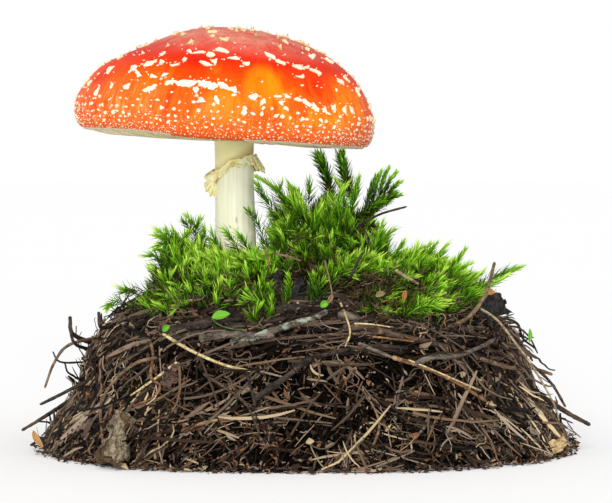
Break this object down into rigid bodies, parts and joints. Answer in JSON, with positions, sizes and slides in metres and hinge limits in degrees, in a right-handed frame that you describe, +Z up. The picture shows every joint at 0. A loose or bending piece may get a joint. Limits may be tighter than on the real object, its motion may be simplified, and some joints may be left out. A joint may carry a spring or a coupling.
{
  "type": "fly agaric mushroom in a clump of moss and litter",
  "caption": "Fly agaric with a domed, warted cap, a ringed stem and moss cushions, standing upright in a mound of packed forest litter.",
  "frame": {"origin": "middle of the litter heap's flat foot, on the surface that it stands on", "axes": "+X to the object's right as seen from its front, +Y to its back, +Z up; the front faces -Y"},
  "size_m": [0.2237, 0.18, 0.1681],
  "materials": {
    "cap_skin": "moist glossy skin, red shading to orange low on the front",
    "stem_flesh": "matt, fibrous, cream above the ring and whiter below",
    "veil": "matt, crumbly, cream to pale yellow",
    "litter": "matt, damp conifer needles and strands",
    "moss": "soft pile of fine curved leaves, satin sheen",
    "dark_twig": "matt, damp and nearly black",
    "brown_twig": "matt brown bark",
    "straw": "dry, pale and slightly satin",
    "bark": "matt grey-brown, with grey-green lichen",
    "green_leaf": "fresh, satin",
    "dead_leaf": "dry, matt"
  },
  "bodies": {
    "root": {"bark_flake_left": "bark", "bark_flake_right": "bark", "black_branch": "dark_twig", "cap": "cap_skin", "cut_twig": "bark", "dead_leaf_left": "dead_leaf", "green_leaf": "green_leaf", "grey_bent_twig": "bark", "knobbed_twig": "dark_twig", "left_arched_twig": "dark_twig", "left_low_twig": "dark_twig", "left_upper_twig": "dark_twig", "lichen_twig": "bark", "litter_heap": "litter", "long_side_twig": "brown_twig", "low_side_twig": "brown_twig", "moss_cushion_back_left": "moss", "moss_cushion_back_right": "moss", "moss_cushion_front": "moss", "moss_cushion_left": "moss", "moss_cushion_middle": "moss", "moss_cushion_right": "moss", "moss_shoot_fork_left": "moss", "moss_shoot_fork_right": "moss", "moss_shoot_left": "moss", "moss_shoot_near_stem": "moss", "moss_shoot_right": "moss", "moss_shoot_tall_left": "moss", "moss_shoot_tall_right": "moss", "pale_straw": "straw", "rear_branch": "dark_twig", "rear_twig": "brown_twig", "ring": "veil", "short_straw": "straw", "split_stick": "brown_twig", "springing_twig": "dark_twig", "stem": "stem_flesh", "tan_straw": "straw", "thin_stick": "brown_twig", "upright_twig": "brown_twig", "wart_01": "veil", "wart_02": "veil", "wart_03": "veil", "wart_04": "veil", "wart_05": "veil", "wart_06": "veil", "wart_07": "veil", "wart_08": "veil", "wart_09": "veil", "wart_10": "veil", "wart_11": "veil", "wart_12": "veil", "wart_13": "veil", "wart_14": "veil", "wood_chip": "straw"}
  },
  "joints": []
}
